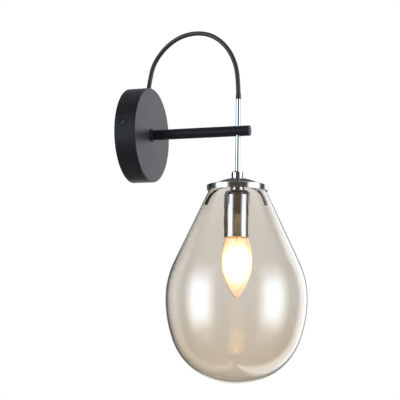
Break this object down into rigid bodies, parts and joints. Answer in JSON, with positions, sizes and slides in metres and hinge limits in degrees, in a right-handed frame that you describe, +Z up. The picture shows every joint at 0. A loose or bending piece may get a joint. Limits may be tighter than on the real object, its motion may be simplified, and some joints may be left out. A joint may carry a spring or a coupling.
{
  "type": "pendant wall sconce",
  "caption": "Pendant wall light: round canopy, level arm, height-adjustable chrome rod with a looped cable, cap and teardrop glass shade over a candle bulb.",
  "frame": {"origin": "on the wall, at the centre of the canopy's back and on the arm's axis", "axes": "+Z up, +Y into the wall, +X to the right of someone who faces the wall"},
  "size_m": [0.16, 0.21, 0.4101],
  "materials": {
    "zinc_steel": "zinc plated",
    "black_satin": "satin black powder coat",
    "bright_screw": "bright nickel",
    "black_rubber": "matt",
    "white_nylon": "natural nylon",
    "brass": "bare",
    "brown_lead": "smooth insulation",
    "blue_lead": "smooth insulation",
    "earth_lead": "smooth insulation",
    "raw_aluminium": "turned",
    "black_steel": "blackened",
    "black_cable": "smooth round sheath",
    "chrome": "polished",
    "clear_silicone": "soft",
    "spring_steel": "oiled spring steel",
    "brown_silicone": "soft sleeve",
    "white_ceramic": "moulded",
    "champagne_glass": "champagne tint with a thin metal lustre",
    "nickel_shell": "drawn",
    "black_insulator": "glass bead",
    "bulb_glass": "clear",
    "nickel_wire": "drawn wire",
    "tungsten": "lit"
  },
  "bodies": {
    "root": {"wall_bracket": "zinc_steel", "canopy_cup": "black_satin", "canopy_side_screws": "black_steel", "cable_gland": "black_rubber", "terminal_block": "white_nylon", "terminal_tubes": "brass", "terminal_screws": "bright_screw", "terminal_block_screw": "bright_screw", "earth_screw": "brass", "earth_tag": "brass", "canopy_lead_brown": "brown_lead", "canopy_lead_blue": "blue_lead", "canopy_lead_earth": "earth_lead", "arm_collar": "black_satin", "arm_tube": "black_satin", "arm_threaded_insert": "zinc_steel", "arm_lock_washer": "zinc_steel", "arm_fixing_screw": "zinc_steel", "arm_clamp_block": "raw_aluminium", "rod_set_screw": "black_steel", "arm_end_plug": "black_satin", "cable": "black_cable"},
    "pendant": {"cable_end_sleeve": "black_rubber", "rod_tube": "chrome", "rod_coupler": "chrome", "rod_lead_brown": "brown_lead", "rod_lead_blue": "blue_lead", "rod_lead_earth": "earth_lead", "shade_cap": "chrome", "cap_gasket": "clear_silicone", "cap_nipple": "zinc_steel", "cap_lock_nut": "zinc_steel", "spring_clip": "spring_steel", "clip_sleeves": "brown_silicone", "socket_cup": "chrome", "lampholder_body": "white_ceramic", "lampholder_shell": "brass", "lampholder_contact": "brass", "lampholder_terminals": "brass"},
    "shade": {"glass_shade": "champagne_glass"},
    "bulb_foot": {"bulb_base": "nickel_shell", "bulb_insulator": "black_insulator", "bulb_tip_contact": "brass"},
    "bulb_glass": {"bulb_envelope": "bulb_glass", "bulb_stem": "bulb_glass", "bulb_support_wires": "nickel_wire", "bulb_filament": "tungsten"}
  },
  "joints": [
    {"name": "rod_height", "type": "slide", "parent": "root", "child": "pendant", "axis": [0, 0, 1], "range_m": [-0.015, 0.015], "deforming": ["cable"]},
    {"name": "shade_release", "type": "slide", "parent": "pendant", "child": "shade", "axis": [0, 0, -1], "range_m": [0, 0.14], "deforming": ["spring_clip", "clip_sleeves"]},
    {"name": "bulb_advance", "type": "slide", "parent": "pendant", "child": "bulb_foot", "axis": [0, 0, -1], "range_m": [0, 0.0198]},
    {"name": "bulb_turn", "type": "hinge", "parent": "bulb_foot", "child": "bulb_glass", "pos_m": [0, -0.13, -0.15], "axis": [0, 0, -1], "range_deg": [0, 2520]}
  ],
  "couplings": [
    {"joint": "bulb_advance", "follows": "bulb_turn", "m_per_rad": 0.0004488}
  ]
}
